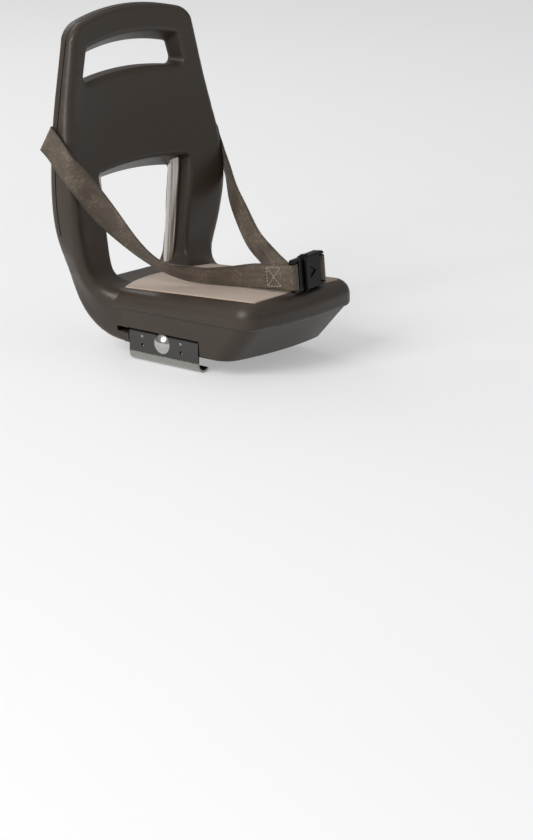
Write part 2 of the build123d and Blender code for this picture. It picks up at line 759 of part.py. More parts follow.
# Closed loop of webbing round a buckle bar, with the sewn tail beside the belt
def bar_loop(bar_x):
    loop_out = loop_radius + web_thick
    loop_height = web_width + 0.4
    base = at_buckle(0, -web_drop - loop_height / 2, 0)
    with BuildPart() as loop:
        with BuildSketch(Plane(origin=base, x_dir=buckle_plane.x_dir, z_dir=buckle_up)):
            with BuildSketch(mode=Mode.PRIVATE) as outer:
                with BuildLine():
                    CenterArc((bar_x, 0), loop_out, 160, 220)
                    CenterArc((bar_x, 14), web_thick, 0, 180)
                make_hull()
            with BuildSketch(mode=Mode.PRIVATE) as inner:
                with BuildLine():
                    CenterArc((bar_x, 0), loop_radius, 160, 220)
                    CenterArc((bar_x, 8), 0.4, 0, 180)
                make_hull()
            add(outer.sketch)
            add(inner.sketch, mode=Mode.SUBTRACT)
            with Locations((bar_x, (12 + sewn_length) / 2)):
                Rectangle(2 * web_thick, sewn_length - 12)
        extrude(amount=loop_height)
    return loop.part


# Belt from its anchor behind the backrest, round the edge and over the jamb, standing off the edge by a slack
def belt_start(side, slack):
    lift = web_lift + web_thick / 2
    rows = []
    rise = rear_face(anchor_x, anchor_z + 1) - rear_face(anchor_x, anchor_z)
    for x in (anchor_x - anchor_tail, anchor_x, anchor_x + 10):
        rows.append(((x, rear_face(x, anchor_z) + lift, anchor_z), (0, rise, 1)))
    rows += [
        ((anchor_x + 20, rear_face(anchor_x + 20, anchor_z) + lift + 0.8, anchor_z), (-0.05, 0.15, 1)),
        ((106.0 + 0.3 * slack, 117.2 + 0.2 * slack, 200.3), (-0.35, 0.12, 0.93)),
        ((112.9 + 0.5 * slack, 113.6 + 0.2 * slack, 198.0), (-0.55, 0.30, 0.75)),
        ((114.2 + 0.5 * slack, 106.0, 193.0), (-0.10, -0.40, 0.85)),
        ((114.6 + 0.3 * slack, 98.5, 187.0), (0, -0.70, 0.70)),
        ((116.0, 89.0, 176.5), (-0.20, -0.66, 0.70)),
        ((110.5, 80.5, 164.5), (-0.60, -0.45, 0.66)),
    ]
    return [((side * x, y, z), (side * a, b, c)) for (x, y, z), (a, b, c) in rows]


# The last two stations of a belt, inside its sewn tail
def belt_end(bar_x):
    ends = [at_buckle(bar_x, -web_drop, sewn_length + d) for d in (8, -2)]
    return [(tuple(p), tuple(buckle_up)) for p in ends]


# Runs of the belts over the lap, with heights above the seat
right_run = [
    ((-98.7, 72.4, 89.3), (0.63, -0.48, 0.61)),
    ((-86.3, 66.0, 71.5), (0.35, -0.66, 0.60)),
    ((-75.2, 52.3, 52.1), (-0.10, -0.74, 0.62)),
    ((-64.2, 36.3, 34.2), (-0.42, -0.70, 0.55)),
    ((-50.6, 16.2, 19.5), (-0.55, -0.62, 0.55)),
    ((-41.0, -3.0, 15.4), (-0.50, -0.42, 0.75)),
    ((-33.4, -22.0, 14.8), (-0.43, -0.30, 0.82)),
    ((-27.2, -41.0, 16.2), (-0.35, -0.15, 0.92)),
    ((-23.1, -60.0, 18.4), (-0.20, 0, 0.98)),
]
left_run = [
    ((105.2, 70.1, 85.8), (-0.35, -0.40, 0.75)),
    ((98.5, 58.0, 64.3), (-0.10, -0.35, 0.80)),
    ((87.5, 37.5, 47.8), (0.25, -0.20, 0.75)),
    ((75.0, 14.5, 33.8), (0.45, -0.10, 0.68)),
    ((62.0, -10.5, 24.1), (0.50, 0, 0.70)),
    ((50.5, -37.0, 17.8), (0.40, 0, 0.80)),
    ((41.0, -60.0, 18.3), (0.15, 0.03, 0.97)),
]


# A whole belt: from its anchor, along its run and into its buckle half
def belt_stations(side, slack, run, bar_x):
    lap = [((x, y, seat_height + rise), width) for (x, y, rise), width in run]
    return belt_start(side, slack) + lap + belt_end(bar_x)


with BuildPart() as belt_right:
    add(webbing(belt_stations(-1, belt_slack[0], right_run, tongue_bar_x)))
    add(bar_loop(tongue_bar_x))
    add(screw_bore(anchor_plane(-1, 12), anchor_screw[0], anchor_screw[0], 24), mode=Mode.SUBTRACT)
belt_right.part.label = "belt_right"
export_step(belt_right.part, "parts/belt_right.step")

with BuildPart() as belt_left:
    add(webbing(belt_stations(1, belt_slack[1], left_run, socket_bar_x)))
    add(bar_loop(socket_bar_x))
    add(screw_bore(anchor_plane(1, 12), anchor_screw[0], anchor_screw[0], 24), mode=Mode.SUBTRACT)
belt_left.part.label = "belt_left"
export_step(belt_left.part, "parts/belt_left.step")

# Buckle tongue: belt bar, frame, two spring arms and a middle guide
tongue_start = tongue_bar_x - bar_half[0]
arm_end = socket_start + socket_depth - 1.5
thumb_height = buckle_half_height + thumb_rise
with BuildPart() as buckle_tongue:
    with BuildSketch(buckle_plane):
        with Locations(((tongue_start + tongue_end) / 2, 0)):
            RectangleRounded(tongue_end - tongue_start, 2 * buckle_half_height - 1, 3)
        with Locations((tongue_bar_x + bar_half[0] + slot_width / 2, 0)):
            Rectangle(slot_width, 2 * slot_half_height, mode=Mode.SUBTRACT)
    extrude(amount=bar_half[1], both=True)
    with BuildSketch(buckle_plane):
        for side in (-1, 1):
            with BuildLine():
                Polyline((tongue_end - 2, side * arm_half_height),
                         (tongue_end - 2, side * (arm_half_height - arm_width)),
                         (arm_end, side * (arm_half_height - arm_width)),
                         (arm_end - 2, side * arm_half_height), close=True)
            make_face()
            with BuildLine():
                Polyline((thumb[0], side * (arm_half_height - 1)), (thumb[1], side * (arm_half_height - 1)),
                         (thumb[1] - 2.5, side * thumb_height), (thumb[0] + 1, side * thumb_height), close=True)
            make_face()
        with Locations(((tongue_end + arm_end) / 2 - 2, 0)):
            Rectangle(arm_end - tongue_end, 5)
    extrude(amount=arm_half_thick, both=True)
buckle_tongue.part.label = "buckle_tongue"
export_step(buckle_tongue.part, "parts/buckle_tongue.step")

# Buckle socket: hollow mouth for the arms, open sides for their thumb pieces, a belt bar at the far end
socket_end = socket_bar_x + bar_half[0]
with BuildPart() as buckle_socket:
    with BuildSketch(buckle_plane):
        with Locations(((socket_start + socket_end) / 2, 0)):
            RectangleRounded(socket_end - socket_start, 2 * buckle_half_height, 4)
        with Locations((socket_bar_x - bar_half[0] - slot_width / 2, 0)):
            Rectangle(slot_width, 2 * slot_half_height, mode=Mode.SUBTRACT)
    extrude(amount=buckle_half_thick, both=True)
    fillet(buckle_socket.faces().sort_by(Axis.Y)[0].outer_wire().edges(), 1.5)
    fillet(buckle_socket.faces().sort_by(Axis.Y)[-1].outer_wire().edges(), 1.5)
    with BuildSketch(Plane(origin=at_buckle(socket_start, 0, 0), x_dir=buckle_front, z_dir=buckle_plane.x_dir)):
        Rectangle(2 * (arm_half_thick + arm_fit), 2 * (arm_half_height + arm_fit))
    extrude(amount=socket_depth, mode=Mode.SUBTRACT)
    with BuildSketch(buckle_plane):
        for side in (-1, 1):
            with Locations((thumb[1] + arm_fit - 10, side * buckle_half_height)):
                Rectangle(20, 2 * (buckle_half_height - arm_half_height + 1))
    extrude(amount=arm_half_thick + arm_fit, both=True, mode=Mode.SUBTRACT)
    with BuildSketch(buckle_plane.offset(buckle_half_thick - 1.2)):
        with BuildLine():
            Polyline((socket_start + 8, -6), (socket_start + 8, 6), (socket_start + 19, 0), close=True)
        make_face()
    extrude(amount=4, mode=Mode.SUBTRACT)
    bar_cut = buckle_half_thick - bar_half[1]
    for side in (-1, 1):
        with BuildSketch(buckle_plane.offset(side * bar_half[1])):
            with Locations((socket_bar_x, 0)):
                Rectangle(2 * bar_half[0] + 2, 2 * slot_half_height)
        extrude(amount=side * (bar_cut + 1), mode=Mode.SUBTRACT)
buckle_socket.part.label = "buckle_socket"
export_step(buckle_socket.part, "parts/buckle_socket.step")
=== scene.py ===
import json
import math

import bpy
import numpy as np
from mathutils import Matrix, Vector


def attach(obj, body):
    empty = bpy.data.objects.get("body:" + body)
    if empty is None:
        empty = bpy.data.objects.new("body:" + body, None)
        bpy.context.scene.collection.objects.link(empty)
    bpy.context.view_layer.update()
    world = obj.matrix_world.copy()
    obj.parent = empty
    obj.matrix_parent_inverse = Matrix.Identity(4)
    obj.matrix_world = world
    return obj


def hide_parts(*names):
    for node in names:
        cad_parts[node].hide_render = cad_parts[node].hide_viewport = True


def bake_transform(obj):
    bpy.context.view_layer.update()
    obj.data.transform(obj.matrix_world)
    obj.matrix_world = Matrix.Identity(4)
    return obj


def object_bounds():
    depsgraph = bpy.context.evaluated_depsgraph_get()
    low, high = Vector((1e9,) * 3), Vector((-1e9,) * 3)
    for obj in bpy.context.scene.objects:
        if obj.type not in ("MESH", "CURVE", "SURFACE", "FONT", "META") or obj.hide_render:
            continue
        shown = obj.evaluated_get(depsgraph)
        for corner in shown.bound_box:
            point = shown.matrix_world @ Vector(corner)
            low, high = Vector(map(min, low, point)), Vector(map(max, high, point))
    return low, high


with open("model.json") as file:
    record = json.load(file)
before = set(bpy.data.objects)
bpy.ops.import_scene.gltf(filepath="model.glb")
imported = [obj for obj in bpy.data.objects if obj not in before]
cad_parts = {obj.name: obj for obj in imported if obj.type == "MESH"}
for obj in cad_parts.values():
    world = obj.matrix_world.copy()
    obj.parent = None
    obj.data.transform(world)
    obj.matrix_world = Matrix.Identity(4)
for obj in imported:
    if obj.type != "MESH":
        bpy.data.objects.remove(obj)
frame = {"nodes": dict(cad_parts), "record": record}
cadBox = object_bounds()
cadNodes = frame["nodes"]
print("stage: frame loaded,", len(cadNodes), "solids")


# Quads over a grid of points, numbered row by row; either way may close on itself
def gridQuads(rows, columns, closeRows=False, closeColumns=False):
    i, j = np.meshgrid(np.arange(rows - (not closeRows)), np.arange(columns - (not closeColumns)), indexing="ij")
    nextRow, nextColumn = (i + 1) % rows, (j + 1) % columns
    corners = [i * columns + j, nextRow * columns + j, nextRow * columns + nextColumn, i * columns + nextColumn]
    return np.stack(corners, -1).reshape(-1, 4)


# First and last ring of a tube of points, as the two faces that close it
def endCaps(count, columns):
    return [np.arange(columns), np.arange(count - columns, count)[::-1]]


# Mesh piece from points in millimetres; its faces are turned round where the enclosed volume comes out negative
def makePiece(name, points, quads, caps=(), uv=None):
    points = np.asarray(points, float) / 1000
    fans = [quads[:, [0, 1, 2]], quads[:, [0, 2, 3]]]
    fans += [np.stack([np.full(len(cap) - 2, cap[0]), cap[1:-1], cap[2:]], 1) for cap in caps]
    a, b, c = np.moveaxis(points[np.concatenate(fans)], 1, 0)
    order = -1 if np.einsum("ij,ij->", a, np.cross(b, c)) < 0 else 1
    mesh = bpy.data.meshes.new(name)
    mesh.from_pydata(points.tolist(), [], quads[:, ::order].tolist() + [cap[::order].tolist() for cap in caps])
    mesh.polygons.foreach_set("use_smooth", np.ones(len(mesh.polygons), bool))
    if uv is not None:
        corner = np.empty(len(mesh.loops), np.int32)
        mesh.loops.foreach_get("vertex_index", corner)
        mesh.uv_layers.new(name="lay").data.foreach_set("uv", np.asarray(uv, np.float32)[corner].ravel())
    mesh.update()
    piece = bpy.data.objects.new(name, mesh)
    bpy.context.scene.collection.objects.link(piece)
    return piece


# Rows of vectors brought to length one
def unit(rows):
    return rows / np.linalg.norm(rows, axis=1)[:, None]


# Natural cubic spline through rows of numbers, by chord length of the first three columns
def splineRows(rows, count):
    rows = np.asarray(rows, float)
    steps = np.linalg.norm(np.diff(rows[:, :3], axis=0), axis=1)
    knots = np.concatenate([[0], np.cumsum(steps)])
    n = len(rows)
    system = np.eye(n)
    pull = np.zeros_like(rows)
    k = np.arange(1, n - 1)
    system[k, k - 1], system[k, k], system[k, k + 1] = steps[k - 1], 2 * (steps[k - 1] + steps[k]), steps[k]
    slope = np.diff(rows, axis=0) / steps[:, None]
    pull[1:-1] = 6 * np.diff(slope, axis=0)
    bend = np.linalg.solve(system, pull)
    at = np.linspace(0, knots[-1], count)
    seg = np.clip(np.searchsorted(knots, at, side="right") - 1, 0, n - 2)
    h, left, right = steps[seg][:, None], (knots[seg + 1] - at)[:, None], (at - knots[seg])[:, None]
    curve = (bend[seg] * left ** 3 + bend[seg + 1] * right ** 3) / (6 * h)
    curve += (rows[seg] / h - bend[seg] * h / 6) * left + (rows[seg + 1] / h - bend[seg + 1] * h / 6) * right
    return curve


# Node helpers: a group has named sockets, and a link goes from one socket to another
def newGroup(name, inputs, outputs):
    tree = bpy.data.node_groups.new(name, "ShaderNodeTree")
    for label, kind, value in inputs:
        socket = tree.interface.new_socket(label, in_out="INPUT", socket_type=kind)
        socket.default_value = value
    for label, kind in outputs:
        tree.interface.new_socket(label, in_out="OUTPUT", socket_type=kind)
    return tree, tree.nodes.new("NodeGroupInput"), tree.nodes.new("NodeGroupOutput")


def addNode(tree, kind, values=None, **settings):
    made = tree.nodes.new(kind)
    for key, value in settings.items():
        setattr(made, key, value)
    for key, value in (values or {}).items():
        made.inputs[key].default_value = value
    return made


def mathNode(tree, operation, first, second=None, third=None):
    made = tree.nodes.new("ShaderNodeMath")
    made.operation = operation
    for k, value in enumerate((first, second, third)):
        if isinstance(value, (int, float)):
            made.inputs[k].default_value = value
        elif value is not None:
            tree.links.new(value, made.inputs[k])
    return made.outputs[0]


# New material, with its node tree and its shader
def newMaterial(name):
    material = bpy.data.materials.new(name)
    material.use_nodes = True
    return material, material.node_tree, material.node_tree.nodes["Principled BSDF"]


# Mix of two colours by a factor that comes from a socket
def mixColours(tree, first, second, factor):
    mix = addNode(tree, "ShaderNodeMix", data_type="RGBA")
    mix.inputs["A"].default_value = first
    mix.inputs["B"].default_value = second
    tree.links.new(factor, mix.inputs["Factor"])
    return mix.outputs["Result"]


# Value that runs from nought to one between two limits
def between(tree, value, low, high):
    step = addNode(tree, "ShaderNodeMapRange", {"From Min": low, "From Max": high})
    tree.links.new(value, step.inputs["Value"])
    return step.outputs["Result"]


# Linear colour from the 0 to 255 values that a screen shows
def shade(red, green, blue):
    s = np.array([red, green, blue]) / 255
    linear = np.where(s <= 0.04045, s / 12.92, ((s + 0.055) / 1.055) ** 2.4)
    return (*map(float, linear), 1.0)


surfaceOutputs = [("Colour", "NodeSocketColor"), ("Roughness", "NodeSocketFloat"), ("Normal", "NodeSocketVector")]
grainMix = {"fineShare": 0.5, "middle": 0.75, "glossChange": 0.16}


# Grain of a moulded or coated surface: fine bumps, a broad drift of shade and a change of gloss
def surfaceGrain():
    tree, given, out = newGroup(
        "surfaceGrain",
        [("Colour", "NodeSocketColor", (0.5, 0.5, 0.5, 1)), ("Fine", "NodeSocketFloat", 900.0),
         ("Broad", "NodeSocketFloat", 14.0), ("Drift", "NodeSocketFloat", 0.1),
         ("Depth", "NodeSocketFloat", 0.00005), ("Gloss", "NodeSocketFloat", 0.5)],
        surfaceOutputs)
    link = tree.links.new
    place = addNode(tree, "ShaderNodeTexCoord")
    fine = addNode(tree, "ShaderNodeTexNoise", {"Detail": 3.0, "Roughness": 0.6})
    broad = addNode(tree, "ShaderNodeTexNoise", {"Detail": 4.0, "Roughness": 0.55})
    for noise, key in ((fine, "Fine"), (broad, "Broad")):
        link(place.outputs["Object"], noise.inputs["Vector"])
        link(given.outputs[key], noise.inputs["Scale"])
    speck = mathNode(tree, "MULTIPLY_ADD", fine.outputs["Fac"], grainMix["fineShare"], broad.outputs["Fac"])
    offset = mathNode(tree, "SUBTRACT", speck, grainMix["middle"])
    tone = addNode(tree, "ShaderNodeHueSaturation")
    link(given.outputs["Colour"], tone.inputs["Color"])
    link(mathNode(tree, "MULTIPLY_ADD", offset, given.outputs["Drift"], 1.0), tone.inputs["Value"])
    link(tone.outputs["Color"], out.inputs["Colour"])
    gloss = mathNode(tree, "MULTIPLY_ADD", offset, grainMix["glossChange"], given.outputs["Gloss"])
    link(gloss, out.inputs["Roughness"])
    bump = addNode(tree, "ShaderNodeBump", {"Strength": 1.0})
    link(fine.outputs["Fac"], bump.inputs["Height"])
    link(given.outputs["Depth"], bump.inputs["Distance"])
    link(bump.outputs["Normal"], out.inputs["Normal"])
    return tree


# Drawn or plated metal: hair lines along one axis, cloudy gloss
def metalHair():
    tree, given, out = newGroup(
        "metalHair",
        [("Colour", "NodeSocketColor", (0.6, 0.6, 0.6, 1)), ("Stretch", "NodeSocketVector", (1.0, 1.0, 0.03)),
         ("Scale", "NodeSocketFloat", 1500.0), ("Depth", "NodeSocketFloat", 0.00001),
         ("Gloss", "NodeSocketFloat", 0.25), ("Cloud", "NodeSocketFloat", 0.1), ("Hair", "NodeSocketFloat", 0.12)],
        surfaceOutputs)
    link = tree.links.new
    place = addNode(tree, "ShaderNodeTexCoord")
    spread = addNode(tree, "ShaderNodeVectorMath", operation="MULTIPLY")
    link(place.outputs["Object"], spread.inputs[0])
    link(given.outputs["Stretch"], spread.inputs[1])
    lines = addNode(tree, "ShaderNodeTexNoise", {"Detail": 2.0})
    link(spread.outputs["Vector"], lines.inputs["Vector"])
    link(given.outputs["Scale"], lines.inputs["Scale"])
    cloud = addNode(tree, "ShaderNodeTexNoise", {"Scale": 130.0, "Detail": 5.0, "Roughness": 0.65})
    link(place.outputs["Object"], cloud.inputs["Vector"])
    change = mathNode(
        tree, "MULTIPLY", mathNode(tree, "SUBTRACT", cloud.outputs["Fac"], 0.5), given.outputs["Cloud"])
    tone = addNode(tree, "ShaderNodeHueSaturation")
    link(given.outputs["Colour"], tone.inputs["Color"])
    link(mathNode(tree, "ADD", change, 1.0), tone.inputs["Value"])
    link(tone.outputs["Color"], out.inputs["Colour"])
    streak = mathNode(tree, "MULTIPLY_ADD", lines.outputs["Fac"], given.outputs["Hair"], given.outputs["Gloss"])
    link(mathNode(tree, "ADD", streak, change), out.inputs["Roughness"])
    bump = addNode(tree, "ShaderNodeBump", {"Strength": 1.0})
    link(lines.outputs["Fac"], bump.inputs["Height"])
    link(given.outputs["Depth"], bump.inputs["Distance"])
    link(bump.outputs["Normal"], out.inputs["Normal"])
    return tree


# Material whose colour, roughness and normal come from one of the groups, the rest from plain values on the shader
def groupMaterial(name, group, groupValues, shaderValues):
    material, tree, shader = newMaterial(name)
    effect = addNode(tree, "ShaderNodeGroup", groupValues, node_tree=group)
    for key, socket in (("Colour", "Base Color"), ("Roughness", "Roughness"), ("Normal", "Normal")):
        tree.links.new(effect.outputs[key], shader.inputs[socket])
    shader.inputs["Base Color"].default_value = groupValues["Colour"]
    for key, value in shaderValues.items():
        shader.inputs[key].default_value = value
    return material


grain = surfaceGrain()
hair = metalHair()

finishes = {
    "shell": groupMaterial(
        "softTouchShell", grain,
        {"Colour": shade(61, 52, 44), "Fine": 1100.0, "Broad": 16.0, "Drift": 0.35, "Depth": 0.00006,
         "Gloss": 0.40},
        {"Specular IOR Level": 0.42}),
    "buckle": groupMaterial(
        "blackBuckle", grain,
        {"Colour": shade(14, 13, 11), "Fine": 1500.0, "Broad": 40.0, "Drift": 0.4, "Depth": 0.00004,
         "Gloss": 0.36},
        {"Specular IOR Level": 0.12}),
    "pad": groupMaterial(
        "foamPad", grain,
        {"Colour": shade(184, 165, 149), "Fine": 1300.0, "Broad": 22.0, "Drift": 0.16, "Depth": 0.00010,
         "Gloss": 0.72},
        {"Specular IOR Level": 0.35, "Sheen Weight": 0.15, "Sheen Roughness": 0.5}),
    "tube": groupMaterial(
        "stainlessTube", hair,
        {"Colour": shade(205, 198, 192), "Stretch": (1.0, 1.0, 0.02), "Scale": 2500.0, "Depth": 0.0,
         "Gloss": 0.28, "Cloud": 0.02, "Hair": 0.01},
        {"Metallic": 1.0}),
    "zinc": groupMaterial(
        "zincSheet", hair,
        {"Colour": shade(196, 196, 194), "Stretch": (1.0, 0.06, 1.0), "Scale": 1500.0, "Depth": 0.00001,
         "Gloss": 0.24, "Cloud": 0.16},
        {"Metallic": 1.0}),
    "bolt": groupMaterial(
        "platedBolt", hair,
        {"Colour": shade(192, 190, 186), "Stretch": (0.2, 1.0, 1.0), "Scale": 1200.0, "Depth": 0.000002,
         "Gloss": 0.14, "Cloud": 0.08},
        {"Metallic": 1.0}),
    "screw": groupMaterial(
        "blackZinc", hair,
        {"Colour": shade(110, 108, 105), "Stretch": (1.0, 1.0, 1.0), "Scale": 1600.0, "Depth": 0.00001,
         "Gloss": 0.32, "Cloud": 0.2},
        {"Metallic": 1.0}),
}

# Clamp sheet: face darkened as a painted reflection, with a painted highlight on the hook and on the two upper pips;
# places in metres
clamp = {"face": (86, 84, 82), "paintedHighlight": (158, 160, 154), "ragged": 0.0016, "hook": (-0.0048, -0.0062),
         "pipBeside": 0.025, "pipAbove": 0.0105, "pipEdge": (0.0019, 0.0014)}


def clampMaterial():
    material = groupMaterial(
        "clampPaintedLight", hair,
        {"Colour": shade(196, 198, 194), "Stretch": (1.0, 0.06, 1.0), "Scale": 1500.0, "Depth": 0.000004,
         "Gloss": 0.20, "Cloud": 0.14},
        {"Metallic": 1.0})
    tree = material.node_tree
    link = tree.links.new
    effect = next(n for n in tree.nodes if n.type == "GROUP")
    place = addNode(tree, "ShaderNodeTexCoord")
    parts = addNode(tree, "ShaderNodeSeparateXYZ")
    link(place.outputs["Object"], parts.inputs["Vector"])
    cloud = addNode(tree, "ShaderNodeTexNoise", {"Scale": 220.0, "Detail": 4.0})
    link(place.outputs["Object"], cloud.inputs["Vector"])
    ragged = mathNode(tree, "MULTIPLY_ADD", cloud.outputs["Fac"], clamp["ragged"], parts.outputs["Z"])
    beside = mathNode(tree, "SUBTRACT", mathNode(tree, "ABSOLUTE", parts.outputs["Y"]), clamp["pipBeside"])
    above = mathNode(tree, "SUBTRACT", parts.outputs["Z"], clamp["pipAbove"])
    fromPip = mathNode(tree, "SQRT", mathNode(
        tree, "ADD", mathNode(tree, "POWER", beside, 2.0), mathNode(tree, "POWER", above, 2.0)))
    # Painted highlight mask: the hook below a ragged line and small discs round the two upper pips; the rest keeps
    # the dark painted reflection
    paintedHighlightMask = mathNode(
        tree, "MAXIMUM", between(tree, ragged, *clamp["hook"]), between(tree, fromPip, *clamp["pipEdge"]))
    link(mixColours(tree, shade(*clamp["face"]), shade(*clamp["paintedHighlight"]), paintedHighlightMask), effect.inputs["Colour"])
    return material


slots = {row["node"]: row["material_slot"] for row in frame["record"]["subparts"]}
for nodeName, solid in cadNodes.items():
    if slots[nodeName] in finishes:
        solid.data.materials.clear()
        solid.data.materials.append(finishes[slots[nodeName]])
clampSheet = clampMaterial()
for nodeName in ("clamp_right", "clamp_left"):
    cadNodes[nodeName].data.materials[0] = clampSheet
print("stage: finishes on the solids")

# Webbing weave on the strap's own map, across and along in millimetres: chevron ribs, picks, dark selvedges,
# and pale flecks where the picks are worn; painted shade follows the weave's height and broad patches add painted
# sheen
weave = {
    "colour": (90, 79, 67), "panel": 3.125, "panelShift": 100.0, "rib": 2.1, "yarnAcross": 0.8, "yarnAlong": 0.95,
    "yarnShare": 0.45, "ribHeight": 0.5, "selvedge": (10.6, 11.6), "selvedgeDrop": 0.5,
    "patchScale": (0.05, 0.035), "patchWear": (0.40, 0.62), "fleckScale": (0.2, 0.75), "fleckWear": (0.52, 0.68),
    "yarnScale": (1.6, 0.06), "ground": 0.05, "yarnTone": 0.4, "paintedWeaveShade": 0.22, "paintedSheenTone": 1.5,
    "selvedgeTone": -0.35, "wornTone": 1.5, "gloss": 0.34, "patchGloss": 0.25,
    "shader": {"Sheen Weight": 0.2, "Sheen Roughness": 0.35, "Specular IOR Level": 0.4}}


def webbingMaterial():
    material, tree, shader = newMaterial("wovenWebbing")
    link = tree.links.new
    lay = addNode(tree, "ShaderNodeUVMap", uv_map="lay")
    parts = addNode(tree, "ShaderNodeSeparateXYZ")
    link(lay.outputs["UV"], parts.inputs["Vector"])
    across, along = parts.outputs["X"], parts.outputs["Y"]

    def wave(value, period):
        return mathNode(tree, "SINE", mathNode(tree, "MULTIPLY", value, 2 * math.pi / period))

    def clouds(scale, detail):
        spread = addNode(tree, "ShaderNodeMapping", {"Scale": (*scale, 1.0)})
        noise = addNode(tree, "ShaderNodeTexNoise", {"Scale": 1.0, "Detail": detail})
        link(lay.outputs["UV"], spread.inputs["Vector"])
        link(spread.outputs["Vector"], noise.inputs["Vector"])
        return noise.outputs["Fac"]

    def plus(value, share, rest):
        return mathNode(tree, "MULTIPLY_ADD", value, share, rest)

    panel = mathNode(tree, "PINGPONG", mathNode(tree, "ADD", across, weave["panelShift"]), weave["panel"])
    rib = wave(mathNode(tree, "ADD", along, panel), weave["rib"])
    picks = mathNode(tree, "MULTIPLY", wave(across, weave["yarnAcross"]), wave(along, weave["yarnAlong"]))
    yarn = plus(picks, weave["yarnShare"], rib)
    selvedge = between(tree, mathNode(tree, "ABSOLUTE", across), *weave["selvedge"])
    height = mathNode(tree, "SUBTRACT", mathNode(tree, "MULTIPLY", yarn, weave["ribHeight"]),
                      mathNode(tree, "MULTIPLY", selvedge, weave["selvedgeDrop"]))
    sheenAndWearPatches = clouds(weave["patchScale"], 3.0)
    flecks = between(tree, clouds(weave["fleckScale"], 2.0), *weave["fleckWear"])
    worn = mathNode(tree, "MULTIPLY", flecks, between(tree, sheenAndWearPatches, *weave["patchWear"]))
    lift = plus(clouds(weave["yarnScale"], 2.0), weave["yarnTone"], weave["ground"])     # yarns vary along the belt
    # Painted shade: colour follows the weave's height, darker in the hollows and at the dropped selvedges, lighter
    # on the ribs
    lift = plus(height, weave["paintedWeaveShade"], lift)
    # Broad patches lighten the colour as painted sheen; the same patches gate the worn flecks and set the roughness
    lift = plus(sheenAndWearPatches, weave["paintedSheenTone"], lift)
    lift = plus(selvedge, weave["selvedgeTone"], lift)
    lift = plus(worn, weave["wornTone"], lift)
    tone = addNode(tree, "ShaderNodeHueSaturation", {"Color": shade(*weave["colour"])})
    link(lift, tone.inputs["Value"])
    link(tone.outputs["Color"], shader.inputs["Base Color"])
    link(plus(sheenAndWearPatches, weave["patchGloss"], weave["gloss"]), shader.inputs["Roughness"])
    bump = addNode(tree, "ShaderNodeBump", {"Strength": 0.9, "Distance": 0.00025})
    link(height, bump.inputs["Height"])
    link(bump.outputs["Normal"], shader.inputs["Normal"])
    for key, value in weave["shader"].items():
        shader.inputs[key].default_value = value
    return material


# Thread of the sewn box: fine twist along the stitch
def threadMaterial():
    material, tree, shader = newMaterial("sewingThread")
    place = addNode(tree, "ShaderNodeTexCoord")
    twist = addNode(tree, "ShaderNodeTexWave", {"Scale": 900.0, "Distortion": 2.0})
    tree.links.new(place.outputs["Object"], twist.inputs["Vector"])
    colour = mixColours(tree, shade(128, 116, 100), shade(168, 154, 136), twist.outputs["Fac"])
    tree.links.new(colour, shader.inputs["Base Color"])
    shader.inputs["Roughness"].default_value = 0.5
    shader.inputs["Sheen Weight"].default_value = 0.3
    return material


webbing = webbingMaterial()
thread = threadMaterial()

# Seat pad: closed rings from the rim of the underside, up the edge and over the crown; each row of the edge is
# an inset and a height
pad = {"halfWidth": 65.5, "front": -108.0, "rear": 57.0, "rearBow": 18.0, "corner": 5.0, "under": -2.95,
       "crown": 0.55, "seatHeight": 55.7, "seatTilt": 3.4, "fill": 0.9, "bevel": 0.3, "bowShare": 0.6,
       "arcSteps": 61, "sideSteps": 60, "cornerSteps": 9, "crownSteps": 26, "centre": 0.004,
       "edge": [(0.0, -0.4), (0.02, 0.15), (0.18, 0.52), (0.5, 0.78), (1.0, 0.92), (1.8, 0.98), (3.0, 1.0)]}


# Outline of the pad in its own plane: straight front and sides, an arc behind, corners as quarter turns
def padOutline():
    half, front, rear, bow, r = (pad[k] for k in ("halfWidth", "front", "rear", "rearBow", "corner"))
    radius = (half ** 2 + bow ** 2) / (2 * bow)
    reach = math.asin((half - r) / radius)
    swing = np.linspace(reach, -reach, pad["arcSteps"])
    behind = np.stack([radius * np.sin(swing), rear + bow - radius + radius * np.cos(swing)], 1)
    steps = pad["sideSteps"]
    side = np.linspace(front + r, behind[-1, 1] - r, steps)[::-1]
    rightSide = np.stack([np.full(steps, -half), side], 1)
    frontSide = np.stack([np.linspace(-half + r, half - r, steps), np.full(steps, front)], 1)
    leftSide = np.stack([np.full(steps, half), side[::-1]], 1)
    quarter = np.linspace(0, np.pi / 2, pad["cornerSteps"])[1:-1]

    def corner(x, y, start):
        return np.stack([x + r * np.cos(start + quarter), y + r * np.sin(start + quarter)], 1)

    return np.concatenate([
        behind, corner(-half + r, side[0], np.pi / 2), rightSide, corner(-half + r, front + r, np.pi),
        frontSide, corner(half - r, front + r, 1.5 * np.pi), leftSide, corner(half - r, side[0], 0)])


